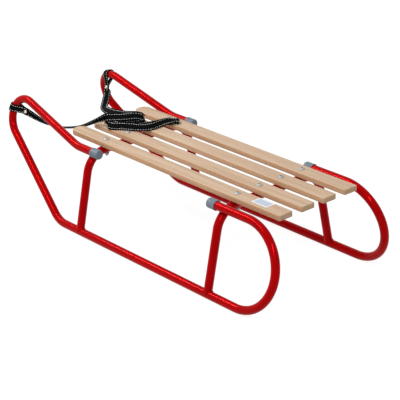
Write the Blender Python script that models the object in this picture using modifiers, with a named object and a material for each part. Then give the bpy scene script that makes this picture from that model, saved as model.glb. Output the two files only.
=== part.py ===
"""Child's sled: a bent steel tube frame, a slatted wooden seat and a webbing pull strap.

Metres, +Z up. The sled's front points to -X, its left side to -Y. The origin lies on the floor
under the middle of the sled, and everything is mirrored about the plane y = 0 apart from the strap.
"""
import math

import bmesh
import bpy
import numpy as np
from mathutils import Matrix, Vector

# Tube frame
TUBE_D = 0.020
GAP = 0.0003
HALF_TRACK = 0.1915
LEAN = math.radians(12.25)
REAR_BEND_R = 0.100
REAR_BEND_BEHIND_BOW = 0.0885
TOE_AHEAD_OF_BOW = 0.0605
TOE_BEND_R = 0.073
HORN_AHEAD_OF_BOW = 0.2695
HORN_HEIGHT = 0.209
HORN_BEND_R = 0.052
NECK_AHEAD_OF_BOW = 0.0355
NECK_BEND_R = 0.109
BOW_SPACING = 0.460
BOW_BEND_R = 0.058
BEND_STEP = math.radians(9)

# Plastic caps on the ends of the top tubes
CAP_WALL = 0.0018
CAP_LENGTH = 0.026
CAP_END = 0.0025
CAP_ROUND = 0.004

# Seat slats
SLAT_COUNT = 4
SLAT_WIDTH = 0.040
SLAT_THICKNESS = 0.013
SEAT_CLEAR_OF_CAPS = 0.0175
SLAT_AHEAD_OF_BOW = 0.1185
SLAT_BEHIND_BOW = 0.151
SLAT_NOSE_R = 0.0155
SLAT_TAIL_R = 0.004
SLAT_EDGE_R = 0.0018

# Dome head bolts with hex nuts
BOLT_D = 0.006
BOLT_HEAD_D = 0.0145
BOLT_HEAD_RISE = 0.0034
BOLT_CLEARANCE = 0.0004
NUT_ACROSS_FLATS = 0.010
NUT_THICKNESS = 0.005
BOLT_TAIL = 0.003

# Pull strap
STRAP_WIDTH = 0.020
STRAP_THICKNESS = 0.0016
RIVET_D = 0.009
RIVET_RISE = 0.0012
RIVET_CLEARANCE = 0.0004
LOOP_REACH = 0.034
LOOP_TAB = 0.007
LOOP_EASE = 0.0012
RUN_STEP = 0.0065
# Where each loop sits on its horn's bend, how its band lies askew, and which way it is pulled
LOOPS = {
    "left": {"place": 150, "skew": 0.009, "turn": -15, "swing": 18},
    "right": {"place": 108, "skew": 0.000, "turn": 9, "swing": 34},
}

# The folded strap on the seat, in its own frame: along its folds, and across them towards the rear
HANK_CENTRE = (-0.200, 0.012)
HANK_TURN = math.radians(49)
HANK_HEIGHT = 0.028
HANK_LEFT = -0.073
HANK_RIGHT = 0.0285
HANK_BACK = -0.031
HANK_FRONT = 0.050
LOBE_HEIGHT = 0.017
LOBE_BACK = 0.0235
LOBE_FRONT = 0.046
LOBE_TIP = 0.126

TUBE_R = TUBE_D / 2
TOP_HEIGHT = 2 * REAR_BEND_R


def clear_scene():
    """Start from an empty file."""
    for item in list(bpy.data.objects):
        bpy.data.objects.remove(item, do_unlink=True)
    for group in list(bpy.data.collections):
        bpy.data.collections.remove(group)


def new_collection(name):
    group = bpy.data.collections.new(name)
    bpy.context.scene.collection.children.link(group)
    return group


def new_material(name, colour, roughness, metallic=0.0):
    material = bpy.data.materials.new(name)
    material.use_nodes = True
    shader = material.node_tree.nodes["Principled BSDF"]
    shader.inputs["Base Color"].default_value = (*colour, 1.0)
    shader.inputs["Roughness"].default_value = roughness
    shader.inputs["Metallic"].default_value = metallic
    material.diffuse_color = (*colour, 1.0)
    return material


clear_scene()
SLED = new_collection("metal_sled")
CUTTERS = new_collection("cutters")
RED_PAINT = new_material("red_paint", (0.62, 0.004, 0.012), 0.25)
BEECH = new_material("beech", (0.62, 0.44, 0.30), 0.55)
GREY_PLASTIC = new_material("grey_plastic", (0.20, 0.24, 0.28), 0.45)
ZINC = new_material("zinc", (0.60, 0.61, 0.63), 0.30, 1.0)
WEBBING = new_material("webbing", (0.012, 0.013, 0.015), 0.80)
BRASS = new_material("rivet_brass", (0.66, 0.58, 0.46), 0.30, 1.0)


# Layout along the sled: the front and rear ends of the frame lie at equal distances from the origin
FRONT_REACH = HORN_AHEAD_OF_BOW + HORN_BEND_R + TUBE_R
REAR_REACH = REAR_BEND_BEHIND_BOW + REAR_BEND_R + TUBE_R
FRONT_BOW_X = -(FRONT_REACH + BOW_SPACING + REAR_REACH) / 2 + FRONT_REACH
REAR_BOW_X = FRONT_BOW_X + BOW_SPACING

# The leg and the top tube touch at the bow's bend: the top tube lies outside the bend, in line with
# the leg, one tube diameter from the bow's axis
BEND_TO_TOP = BOW_BEND_R + TUBE_D + GAP
LEG_STRAIGHT = TOP_HEIGHT - math.sqrt(BEND_TO_TOP ** 2 - BOW_BEND_R ** 2)
CROSSBAR_Z = TUBE_R + LEG_STRAIGHT * math.cos(LEAN) + BOW_BEND_R * (1 - math.sin(LEAN))
SLAT_BOTTOM_Z = CROSSBAR_Z + TUBE_R + GAP
SEAT_Z = SLAT_BOTTOM_Z + SLAT_THICKNESS

# The caps: a front cap starts just behind the bow, a rear cap ends as far ahead of its bow
CAP_INNER_R = TUBE_R + GAP
CAP_OUTER_R = CAP_INNER_R + CAP_WALL
CAP_CLEAR_OF_BOW = TUBE_R + 0.001
TUBE_END_IN_CAP = CAP_LENGTH - CAP_END - GAP
FRONT_TUBE_END_X = FRONT_BOW_X + CAP_CLEAR_OF_BOW + TUBE_END_IN_CAP
REAR_TUBE_END_X = REAR_BOW_X - CAP_CLEAR_OF_BOW - TUBE_END_IN_CAP

# The slats share the width between the caps evenly
TOP_TUBE_Y = HALF_TRACK - TOP_HEIGHT * math.sin(LEAN)
OUTER_SLAT_Y = TOP_TUBE_Y - CAP_OUTER_R - SEAT_CLEAR_OF_CAPS - SLAT_WIDTH / 2
SLAT_YS = [OUTER_SLAT_Y * (2 * i / (SLAT_COUNT - 1) - 1) for i in range(SLAT_COUNT)]


def arc(centre, radius, start, end):
    """Points on an arc in a side frame's own plane, from the start angle to the end angle."""
    steps = max(2, round(abs(end - start) / BEND_STEP))
    angles = np.linspace(start, end, steps + 1)
    return [(centre[0] + radius * math.cos(a), centre[1] + radius * math.sin(a)) for a in angles]


def side_outline():
    """The bent side tube in its own plane: along the sled, and up from the runner's axis."""
    toe = (FRONT_BOW_X - TOE_AHEAD_OF_BOW, TOE_BEND_R)
    horn = (FRONT_BOW_X - HORN_AHEAD_OF_BOW, HORN_HEIGHT)
    neck = (FRONT_BOW_X - NECK_AHEAD_OF_BOW, TOP_HEIGHT + NECK_BEND_R)
    rear = (REAR_BOW_X + REAR_BEND_BEHIND_BOW, REAR_BEND_R)
    down = math.pi / 2
    # Slope of the straight between toe and horn, which both bends touch from the same side
    toe_to_horn = math.hypot(horn[0] - toe[0], horn[1] - toe[1])
    rise = math.atan2(horn[1] - toe[1], toe[0] - horn[0])
    rise += math.asin((TOE_BEND_R - HORN_BEND_R) / toe_to_horn)
    # Slope of the straight between horn and neck, which runs from over one bend to under the other
    horn_to_neck = math.hypot(neck[0] - horn[0], neck[1] - horn[1])
    fall = math.asin((HORN_BEND_R + NECK_BEND_R) / horn_to_neck)
    fall -= math.atan2(neck[1] - horn[1], neck[0] - horn[0])
    points = [(FRONT_TUBE_END_X, TOP_HEIGHT)]
    points += arc(neck, NECK_BEND_R, -down, -down - fall)
    points += arc(horn, HORN_BEND_R, down - fall, 3 * down - rise)
    points += arc(toe, TOE_BEND_R, -down - rise, -down)
    points += arc(rear, REAR_BEND_R, -down, down)
    points.append((REAR_TUBE_END_X, TOP_HEIGHT))
    return points


def on_side(point, side):
    """A point of the side frame's plane in the sled's frame; side is -1 for left, 1 for right."""
    along, up = point
    return Vector((along, side * (HALF_TRACK - up * math.sin(LEAN)), TUBE_R + up * math.cos(LEAN)))


def tube(name, points, radius, material, sides=16):
    """A round tube along points, as a curve with filled ends."""
    curve = bpy.data.curves.new(name, "CURVE")
    curve.dimensions = "3D"
    curve.bevel_depth = radius
    curve.bevel_resolution = (sides - 4) // 2
    curve.use_fill_caps = True
    spline = curve.splines.new("POLY")
    spline.points.add(len(points) - 1)
    for place, point in zip(spline.points, points):
        place.co = (*point, 1.0)
    spline.use_smooth = True
    item = bpy.data.objects.new(name, curve)
    curve.materials.append(material)
    SLED.objects.link(item)
    return item


def as_mesh(item):
    """Swap a curve object for a mesh object of the same shape with its end caps welded on."""
    name = item.name
    depsgraph = bpy.context.evaluated_depsgraph_get()
    mesh = bpy.data.meshes.new_from_object(item.evaluated_get(depsgraph))
    work = bmesh.new()
    work.from_mesh(mesh)
    bmesh.ops.remove_doubles(work, verts=work.verts, dist=0.00002)
    bmesh.ops.recalc_face_normals(work, faces=work.faces)
    work.to_mesh(mesh)
    work.free()
    matrix = item.matrix_world.copy()
    bpy.data.objects.remove(item, do_unlink=True)
    solid = bpy.data.objects.new(name, mesh)
    solid.matrix_world = matrix
    mesh.name = name
    SLED.objects.link(solid)
    mesh.shade_smooth()
    mesh.set_sharp_from_angle(angle=math.radians(40))
    return solid


def round_cutter(name, rods, sides=24):
    """One cutter made of straight rods, each given by its two ends and its radius."""
    mesh = bpy.data.meshes.new(name)
    work = bmesh.new()
    for start, end, radius in rods:
        start, end = Vector(start), Vector(end)
        turn = (end - start).to_track_quat("Z", "Y").to_matrix().to_4x4()
        place = Matrix.Translation((start + end) / 2) @ turn
        bmesh.ops.create_cone(work, cap_ends=True, segments=sides, radius1=radius, radius2=radius,
                              depth=(end - start).length, matrix=place)
    work.to_mesh(mesh)
    work.free()
    item = bpy.data.objects.new(name, mesh)
    item.hide_render = True
    item.display_type = "WIRE"
    CUTTERS.objects.link(item)
    return item


def cut(item, cutter):
    modifier = item.modifiers.new("cut by " + cutter.name, "BOOLEAN")
    modifier.operation = "DIFFERENCE"
    modifier.solver = "EXACT"
    modifier.object = cutter


def turned(name, profile, place, material, sides=24):
    """A turned piece: the profile of (radius, height) points is screwed round its own Z axis."""
    mesh = bpy.data.meshes.new(name)
    edges = [(i, i + 1) for i in range(len(profile) - 1)]
    mesh.from_pydata([(r, 0, z) for r, z in profile], edges, [])
    item = bpy.data.objects.new(name, mesh)
    item.matrix_world = place
    mesh.materials.append(material)
    SLED.objects.link(item)
    screw = item.modifiers.new("turn", "SCREW")
    screw.steps = sides
    screw.render_steps = sides
    screw.use_merge_vertices = True
    screw.merge_threshold = 0.00001
    screw.use_smooth_shade = True
    return item


# Side tubes
SIDES = {"left": -1, "right": 1}
for side_name, side in SIDES.items():
    tube("runner_" + side_name, [on_side(p, side) for p in side_outline()], TUBE_R, RED_PAINT)


# Bows: two legs on the runners, the crossbar between them, and holes for the seat's bolts
def bow_points(bow_x):
    """The bow's axis from the left runner, over the crossbar, to the right runner."""
    turn = math.pi / 2 - LEAN
    steps = max(2, round(turn / BEND_STEP))
    leg_top = on_side((bow_x, LEG_STRAIGHT), 1)
    bend = Vector((bow_x, leg_top.y - BOW_BEND_R * math.cos(LEAN), CROSSBAR_Z - BOW_BEND_R))
    half = [on_side((bow_x, 0), 1)]
    for i in range(steps + 1):
        angle = LEAN + turn * i / steps
        half.append(bend + BOW_BEND_R * Vector((0, math.cos(angle), math.sin(angle))))
    return [Vector((p.x, -p.y, p.z)) for p in half] + half[::-1]


RUNNER_CUTTER = round_cutter("runner_seat", [
    ((FRONT_BOW_X - TUBE_D, side * HALF_TRACK, TUBE_R),
     (REAR_BOW_X + TUBE_D, side * HALF_TRACK, TUBE_R), TUBE_R + GAP)
    for side in SIDES.values()], sides=32)
BOW_PLACES = (("front", FRONT_BOW_X), ("rear", REAR_BOW_X))
BOLT_PLACES = [(bow_name, bow_x, i, y) for bow_name, bow_x in BOW_PLACES
               for i, y in enumerate(SLAT_YS, start=1)]
HOLE_CUTTER = round_cutter("bolt_holes", [
    ((x, y, CROSSBAR_Z - TUBE_D), (x, y, SEAT_Z + TUBE_D), BOLT_D / 2 + BOLT_CLEARANCE)
    for _, x, _, y in BOLT_PLACES], sides=16)
for bow_name, bow_x in BOW_PLACES:
    bow = as_mesh(tube("bow_" + bow_name, bow_points(bow_x), TUBE_R, RED_PAINT))
    cut(bow, RUNNER_CUTTER)
    cut(bow, HOLE_CUTTER)


# Plastic caps over the ends of the top tubes
def cap_profile():
    """The sleeve cap from the middle of its closed end, down its outside, to the middle within."""
    points = [(0, CAP_LENGTH)]
    for i in range(5):
        angle = math.radians(90 - 22.5 * i)
        points.append((CAP_OUTER_R - CAP_ROUND + CAP_ROUND * math.cos(angle),
                       CAP_LENGTH - CAP_ROUND + CAP_ROUND * math.sin(angle)))
    points += [(CAP_OUTER_R, 0), (CAP_INNER_R, 0)]
    points += [(CAP_INNER_R, CAP_LENGTH - CAP_END), (0, CAP_LENGTH - CAP_END)]
    return points


for side_name, side in SIDES.items():
    for bow_name, bow_x, facing in (("front", FRONT_BOW_X, 1), ("rear", REAR_BOW_X, -1)):
        mouth = on_side((bow_x + facing * CAP_CLEAR_OF_BOW, TOP_HEIGHT), side)
        place = Matrix.Translation(mouth) @ Matrix.Rotation(facing * math.pi / 2, 4, "Y")
        turned("cap_{}_{}".format(bow_name, side_name), cap_profile(), place, GREY_PLASTIC)


# Seat slats
def corner(centre_x, centre_y, radius, start):
    """A quarter round corner of a slat's outline, in five points."""
    return [(centre_x + radius * math.cos(math.radians(start + a)),
             centre_y + radius * math.sin(math.radians(start + a))) for a in (0, 22.5, 45, 67.5, 90)]


def slat(name, y):
    """One slat: its rounded outline extruded to the slat's thickness with eased edges."""
    front = FRONT_BOW_X - SLAT_AHEAD_OF_BOW
    back = REAR_BOW_X + SLAT_BEHIND_BOW
    half = SLAT_WIDTH / 2
    outline = corner(back - SLAT_TAIL_R, half - SLAT_TAIL_R, SLAT_TAIL_R, 0)
    outline += corner(front + SLAT_NOSE_R, half - SLAT_NOSE_R, SLAT_NOSE_R, 90)
    outline += corner(front + SLAT_NOSE_R, SLAT_NOSE_R - half, SLAT_NOSE_R, 180)
    outline += corner(back - SLAT_TAIL_R, SLAT_TAIL_R - half, SLAT_TAIL_R, 270)
    curve = bpy.data.curves.new(name, "CURVE")
    curve.dimensions = "2D"
    curve.fill_mode = "BOTH"
    curve.extrude = SLAT_THICKNESS / 2 - SLAT_EDGE_R
    curve.bevel_depth = SLAT_EDGE_R
    curve.bevel_resolution = 1
    curve.offset = -SLAT_EDGE_R
    spline = curve.splines.new("POLY")
    spline.points.add(len(outline) - 1)
    for place, point in zip(spline.points, outline):
        place.co = (point[0], point[1], 0.0, 1.0)
    spline.use_cyclic_u = True
    item = bpy.data.objects.new(name, curve)
    item.location = (0, y, SLAT_BOTTOM_Z + SLAT_THICKNESS / 2)
    curve.materials.append(BEECH)
    SLED.objects.link(item)
    bpy.context.view_layer.update()
    board = as_mesh(item)
    cut(board, HOLE_CUTTER)


for number, slat_y in enumerate(SLAT_YS, start=1):
    slat("slat_{}".format(number), slat_y)


# Bolts and nuts
def bolt_profile():
    """A dome head bolt from the top of the dome to the middle of its tip, head underside at 0."""
    head_r = BOLT_HEAD_D / 2
    dome_r = (head_r ** 2 + BOLT_HEAD_RISE ** 2) / (2 * BOLT_HEAD_RISE)
    full = math.asin(head_r / dome_r)
    points = []
    for i in range(5):
        angle = full * i / 4
        points.append((dome_r * math.sin(angle), BOLT_HEAD_RISE - dome_r * (1 - math.cos(angle))))
    shank = SEAT_Z - (CROSSBAR_Z - TUBE_R) + NUT_THICKNESS + BOLT_TAIL + 2 * GAP
    points += [(BOLT_D / 2, 0), (BOLT_D / 2, -shank), (0, -shank)]
    return points


def nut(name, x, y):
    """A hex nut that sits under the crossbar on the bolt."""
    mesh = bpy.data.meshes.new(name)
    work = bmesh.new()
    corner_r = NUT_ACROSS_FLATS / 2 / math.cos(math.pi / 6)
    bmesh.ops.create_cone(work, cap_ends=True, segments=6, radius1=corner_r, radius2=corner_r,
                          depth=NUT_THICKNESS)
    work.to_mesh(mesh)
    work.free()
    mesh.materials.append(ZINC)
    item = bpy.data.objects.new(name, mesh)
    item.location = (x, y, CROSSBAR_Z - TUBE_R - GAP - NUT_THICKNESS / 2)
    SLED.objects.link(item)
    cut(item, THREAD_CUTTER)


THREAD_CUTTER = round_cutter("nut_threads", [
    ((x, y, CROSSBAR_Z - 2 * TUBE_D), (x, y, CROSSBAR_Z), BOLT_D / 2 + GAP)
    for _, x, _, y in BOLT_PLACES], sides=24)
for bow_name, bolt_x, number, bolt_y in BOLT_PLACES:
    turned("bolt_{}_{}".format(bow_name, number), bolt_profile(),
           Matrix.Translation((bolt_x, bolt_y, SEAT_Z + GAP)), ZINC)
    nut("nut_{}_{}".format(bow_name, number), bolt_x, bolt_y)


# Pull strap: flat webbing, looped and riveted round both horns, folded into a hank on the seat
def on_hank(along, across, height):
    """A point in the hank's frame, height above the seat: along its folds, and across them."""
    cos, sin = math.cos(HANK_TURN), math.sin(HANK_TURN)
    return Vector((HANK_CENTRE[0] + along * cos + across * sin,
                   HANK_CENTRE[1] + along * sin - across * cos, SEAT_Z + height))


def smooth_route(points, spacing):
    """Points at an even spacing on a smooth curve through the route's points."""
    points = [np.array(p, dtype=float) for p in points]
    padded = [2 * points[0] - points[1]] + points + [2 * points[-1] - points[-2]]
    fine = []
    for a, b, c, d in zip(padded, padded[1:], padded[2:], padded[3:]):
        for t in np.linspace(0, 1, 12, endpoint=False):
            fine.append(0.5 * (2 * b + (c - a) * t + (2 * a - 5 * b + 4 * c - d) * t ** 2
                               + (3 * b - 3 * c + d - a) * t ** 3))
    fine.append(points[-1])
    fine = np.array(fine)
    reach = np.concatenate([[0], np.cumsum(np.linalg.norm(np.diff(fine[:, :3], axis=0), axis=1))])
    count = max(3, round(reach[-1] / spacing) + 1)
    even = np.linspace(0, reach[-1], count)
    return np.stack([np.interp(even, reach, fine[:, k]) for k in range(fine.shape[1])], axis=1)


def ribbon(name, points, widths, start=None, finish=None):
    """A flat strap along points, with the direction across it at each, and its ends cut square."""
    work = bmesh.new()
    rings = []
    last = len(points) - 1
    for i, (point, width) in enumerate(zip(points, widths)):
        heading = (points[min(i + 1, last)] - points[max(i - 1, 0)]).normalized()
        if start and i == 0:
            heading = start
        if finish and i == last:
            heading = finish
        across = (width - heading * width.dot(heading)).normalized() * STRAP_WIDTH / 2
        through = heading.cross(across).normalized() * STRAP_THICKNESS / 2
        rings.append([work.verts.new(point + a * across + t * through)
                      for a, t in ((-1, -1), (1, -1), (1, 1), (-1, 1))])
    for ring, after in zip(rings, rings[1:]):
        for k in range(4):
            work.faces.new((ring[k], ring[(k + 1) % 4], after[(k + 1) % 4], after[k]))
    work.faces.new(rings[0][::-1])
    work.faces.new(rings[-1])
    bmesh.ops.recalc_face_normals(work, faces=work.faces)
    mesh = bpy.data.meshes.new(name)
    work.to_mesh(mesh)
    work.free()
    mesh.materials.append(WEBBING)
    item = bpy.data.objects.new(name, mesh)
    SLED.objects.link(item)
    return item


def horn_frame(side, angle):
    """Middle of the horn tube at an angle of its bend, with the directions out, on and inward."""
    horn_x = FRONT_BOW_X - HORN_AHEAD_OF_BOW
    on_bend = (horn_x + HORN_BEND_R * math.cos(angle), HORN_HEIGHT + HORN_BEND_R * math.sin(angle))
    middle = on_side(on_bend, side)
    up = Vector((0, -side * math.sin(LEAN), math.cos(LEAN)))
    outward = math.cos(angle) * Vector((1, 0, 0)) + math.sin(angle) * up
    onward = -math.sin(angle) * Vector((1, 0, 0)) + math.cos(angle) * up
    inward = Vector((0, -side * math.cos(LEAN), -math.sin(LEAN)))
    return middle, outward, onward, inward


def strap_loop(side_name):
    """The strap's end, led round the horn and riveted to itself.

    Returns the end of its tab, the direction of pull and the direction up across the strap.
    """
    side = SIDES[side_name]
    loop = LOOPS[side_name]
    place = math.radians(loop["place"])
    turn, swing = math.radians(loop["turn"]), math.radians(loop["swing"])
    middle, outward, onward, inward = horn_frame(side, place)
    pull = math.cos(swing) * (math.sin(turn) * onward - math.cos(turn) * outward)
    pull += math.sin(swing) * inward
    rivet = middle + LOOP_REACH * pull
    wrap_r = TUBE_R + LOOP_EASE + STRAP_THICKNESS / 2
    toward = math.atan2(pull.dot(inward), pull.dot(outward))
    leave = math.acos(wrap_r / (LOOP_REACH - LOOP_TAB))
    points, widths = [], []
    wrap = np.linspace(toward + leave, toward + 2 * math.pi - leave, 19)
    for angle in wrap:
        far = 0.5 - 0.5 * math.cos(angle - toward)
        turned_by = place + loop["skew"] * far / (HORN_BEND_R + TUBE_R)
        centre, out, on, inner = horn_frame(side, turned_by)
        normal = math.cos(angle) * out + math.sin(angle) * inner
        points.append(centre + wrap_r * normal)
        widths.append(on)
    across = (onward - pull * onward.dot(pull)).normalized()
    through = pull.cross(across).normalized()
    if (points[0] - rivet).dot(through) < 0:
        through = -through
    layer = through * (STRAP_THICKNESS + GAP) / 2
    lead = [rivet + LOOP_TAB * pull + layer, rivet + layer, rivet - LOOP_TAB * pull + layer]
    tail = [rivet - LOOP_TAB * pull - layer, rivet - layer, rivet + LOOP_TAB * pull - layer]
    band = ribbon("strap_loop_" + side_name, lead + points + tail,
                  [across] * 3 + widths + [across] * 3)
    hole = round_cutter("rivet_hole_" + side_name,
                        [(rivet - 10 * layer, rivet + 10 * layer, RIVET_D / 4 + RIVET_CLEARANCE)], sides=16)
    cut(band, hole)
    stack = STRAP_THICKNESS + GAP / 2 + GAP
    profile = []
    for i in range(4):
        angle = math.pi / 2 * i / 3
        profile.append((RIVET_D / 2 * math.sin(angle), stack + RIVET_RISE * math.cos(angle)))
    profile += [(RIVET_D / 4, stack), (RIVET_D / 4, -stack)]
    profile += [(r, -z) for r, z in profile[3::-1]]
    axis = through.to_track_quat("Z", "Y").to_matrix().to_4x4()
    turned("rivet_" + side_name, profile, Matrix.Translation(rivet) @ axis, BRASS, sides=16)
    return rivet + (LOOP_TAB + GAP) * pull, pull, -across


def strap_run(side_name, finish, route):
    """A free stretch of the strap from its loop's tab square on to the hank, through route's rows."""
    tab_end, pull, across = strap_loop(side_name)
    rows = [(*tab_end, *across)] + [(*point, *width) for point, width in route]
    rows = smooth_route(rows, RUN_STEP)
    points, widths = [Vector(row[:3]) for row in rows], [Vector(row[3:]) for row in rows]
    ribbon("strap_run_" + side_name, points, widths, pull, finish)


UPRIGHT = Vector((0.30, 0.15, 0.94))
FLAT = Vector((0.28, -0.90, 0.34))
HANK_ALONG = on_hank(1, 0, 0) - on_hank(0, 0, 0)
HANK_ACROSS = on_hank(0, 1, 0) - on_hank(0, 0, 0)
strap_run("left", HANK_ALONG, [
    (Vector((-0.407, -0.119, 0.2140)), (UPRIGHT + FLAT) / 2),
    (Vector((-0.383, -0.110, 0.2065)), FLAT),
    (Vector((-0.360, -0.102, 0.2050)), FLAT),
    (Vector((-0.337, -0.094, 0.2075)), FLAT),
    (Vector((-0.309, -0.084, 0.2130)), FLAT),
    (Vector((-0.284, -0.073, 0.2215)), FLAT),
    (on_hank(-0.088, 0.006, 0.012), FLAT),
    (on_hank(HANK_LEFT - GAP, 0.002, 0.016), FLAT),
])
strap_run("right", HANK_ACROSS, [
    (Vector((-0.438, 0.1165, 0.2130)), Vector((0.85, 0.42, 0.28))),
    (Vector((-0.432, 0.1080, 0.2010)), Vector((0.66, 0.72, 0.24))),
    (Vector((-0.418, 0.0960, 0.1920)), Vector((0.55, 0.80, 0.15))),
    (Vector((-0.395, 0.0800, 0.1900)), Vector((0.55, 0.83, 0.10))),
    (Vector((-0.365, 0.0620, 0.1970)), Vector((0.50, 0.85, 0.15))),
    (Vector((-0.335, 0.0440, 0.2120)), Vector((0.45, 0.85, 0.25))),
    (Vector((-0.305, 0.0260, 0.2280)), Vector((0.40, 0.80, 0.35))),
    (on_hank(-0.040, -0.055, 0.0150), Vector((0.50, 0.60, 0.30))),
    (on_hank(-0.034, HANK_BACK - GAP, 0.0180), Vector((0.65, 0.75, 0.05))),
])


# The hank: one soft solid of the folded strap's outer shape, and its longest fold beside it as a
# lobe, both with recesses over the bolt heads that they lie on
HEAD_CUTTER = round_cutter("bolt_heads", [
    ((FRONT_BOW_X, y, SEAT_Z - TUBE_D), (FRONT_BOW_X, y, SEAT_Z + BOLT_HEAD_RISE + 3 * GAP),
     BOLT_HEAD_D / 2 + GAP) for y in SLAT_YS])


def extruded(name, outline, height):
    """A flat outline in the hank's frame, extruded up from the seat."""
    curve = bpy.data.curves.new(name, "CURVE")
    curve.dimensions = "2D"
    curve.fill_mode = "BOTH"
    curve.extrude = height / 2
    spline = curve.splines.new("POLY")
    spline.points.add(len(outline) - 1)
    for place, point in zip(spline.points, outline):
        corner_point = on_hank(point[0], point[1], 0)
        place.co = (corner_point.x, corner_point.y, 0.0, 1.0)
    spline.use_cyclic_u = True
    item = bpy.data.objects.new(name, curve)
    item.location = (0, 0, SEAT_Z + GAP + height / 2)
    curve.materials.append(WEBBING)
    SLED.objects.link(item)
    bpy.context.view_layer.update()
    cut(as_mesh(item), HEAD_CUTTER)


def rounded_outline(corners):
    """An outline through corners of (along, across, radius), each turned as an arc."""
    points = []
    count = len(corners)
    for i, (along, across, radius) in enumerate(corners):
        here = Vector((along, across))
        before = (Vector(corners[i - 1][:2]) - here).normalized()
        after = (Vector(corners[(i + 1) % count][:2]) - here).normalized()
        half = before.angle(after) / 2
        centre = here + (before + after).normalized() * radius / math.sin(half)
        start = here + before * radius / math.tan(half)
        end = here + after * radius / math.tan(half)
        first = math.atan2(start.y - centre.y, start.x - centre.x)
        sweep = math.atan2(end.y - centre.y, end.x - centre.x) - first
        sweep = (sweep + math.pi) % (2 * math.pi) - math.pi
        for k in range(6):
            angle = first + sweep * k / 5
            points.append((centre.x + radius * math.cos(angle), centre.y + radius * math.sin(angle)))
    return points


extruded("strap_hank", rounded_outline([
    (HANK_LEFT, HANK_BACK, 0.016), (HANK_RIGHT, HANK_BACK, 0.018),
    (HANK_RIGHT, HANK_FRONT, 0.004), (-0.045, HANK_FRONT, 0.025),
    (HANK_LEFT, 0.020, 0.012)]), HANK_HEIGHT)
extruded("strap_lobe", rounded_outline([
    (HANK_RIGHT + GAP, LOBE_BACK, 0.001), (0.062, 0.0175, 0.040), (LOBE_TIP - 0.018, -0.018, 0.012),
    (LOBE_TIP, 0.000, 0.012), (0.086, 0.027, 0.040), (HANK_RIGHT + GAP, LOBE_FRONT, 0.001)]),
    LOBE_HEIGHT)
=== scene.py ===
"""The look of a child's sled: red tube frame, beech seat slats and a black webbing pull strap.

Metres, +Z up, the sled's front towards -X and its left side towards -Y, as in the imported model.
"""
import math

import bmesh
import bpy
import numpy as np
from mathutils import Matrix, Vector


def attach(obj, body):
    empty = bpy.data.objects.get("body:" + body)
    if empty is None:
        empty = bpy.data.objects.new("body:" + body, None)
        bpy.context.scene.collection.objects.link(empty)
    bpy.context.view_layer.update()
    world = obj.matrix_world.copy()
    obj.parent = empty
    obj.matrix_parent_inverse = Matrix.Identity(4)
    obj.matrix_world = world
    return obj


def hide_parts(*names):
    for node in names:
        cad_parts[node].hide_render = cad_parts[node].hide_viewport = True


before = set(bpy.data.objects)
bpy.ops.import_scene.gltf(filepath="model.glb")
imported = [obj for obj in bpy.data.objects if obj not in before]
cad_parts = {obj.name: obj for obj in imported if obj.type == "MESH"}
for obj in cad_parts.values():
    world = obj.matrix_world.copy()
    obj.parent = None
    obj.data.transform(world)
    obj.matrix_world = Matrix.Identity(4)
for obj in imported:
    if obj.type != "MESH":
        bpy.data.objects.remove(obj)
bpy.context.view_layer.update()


# The studio: a long lens behind the sled's left rear corner, a long strip lamp up on the left, another
# above the camera, soft light all round, and a pale floor that runs out of the picture on all sides.
CAMERA_PLACE = Vector((2.4054, -2.0475, 1.4540))
CAMERA_AZIMUTH = math.radians(48.895)
CAMERA_ELEVATION = math.radians(23.451)
CAMERA_ROLL = math.radians(-1.279)
CAMERA_LENS = 129.4
FLOOR_SIZE = 30.0
SKY_LEVEL = 0.37

camera_data = bpy.data.cameras.new("studio_camera")
camera_data.sensor_width = 36.0
camera_data.lens = CAMERA_LENS
camera = bpy.data.objects.new("studio_camera", camera_data)
bpy.context.scene.collection.objects.link(camera)
look_back = Vector((math.sin(CAMERA_AZIMUTH) * math.cos(CAMERA_ELEVATION),
                    -math.cos(CAMERA_AZIMUTH) * math.cos(CAMERA_ELEVATION),
                    math.sin(CAMERA_ELEVATION)))
level_right = Vector((math.cos(CAMERA_AZIMUTH), math.sin(CAMERA_AZIMUTH), 0.0))
level_up = look_back.cross(level_right)
right = level_right * math.cos(CAMERA_ROLL) + level_up * math.sin(CAMERA_ROLL)
up = level_up * math.cos(CAMERA_ROLL) - level_right * math.sin(CAMERA_ROLL)
turned_to_scene = Matrix((right, up, look_back)).transposed().to_4x4()
camera.matrix_world = Matrix.Translation(CAMERA_PLACE) @ turned_to_scene
bpy.context.scene.camera = camera
bpy.context.scene.view_settings.view_transform = "Standard"


def node(tree, kind, values=None, **settings):
    """A shader node with its settings, and with the values of its inputs."""
    made = tree.nodes.new("ShaderNode" + kind)
    for key, value in settings.items():
        setattr(made, key, value)
    for key, value in (values or {}).items():
        made.inputs[key].default_value = value
    return made


def wire(tree, *runs):
    """Join sockets; each run is a node and its output, then a node and its input."""
    for giver, output, taker, socket in runs:
        tree.links.new(giver.outputs[output], taker.inputs[socket])


def seen_or_mirrored(tree):
    """1 for rays from the camera, and for those that gloss and glass send on."""
    path = node(tree, "LightPath")
    first = node(tree, "Math", operation="MAXIMUM")
    second = node(tree, "Math", operation="MAXIMUM")
    wire(tree, (path, "Is Camera Ray", first, 0), (path, "Is Glossy Ray", first, 1),
         (first, 0, second, 0), (path, "Is Transmission Ray", second, 1))
    return second.outputs[0]


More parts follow.
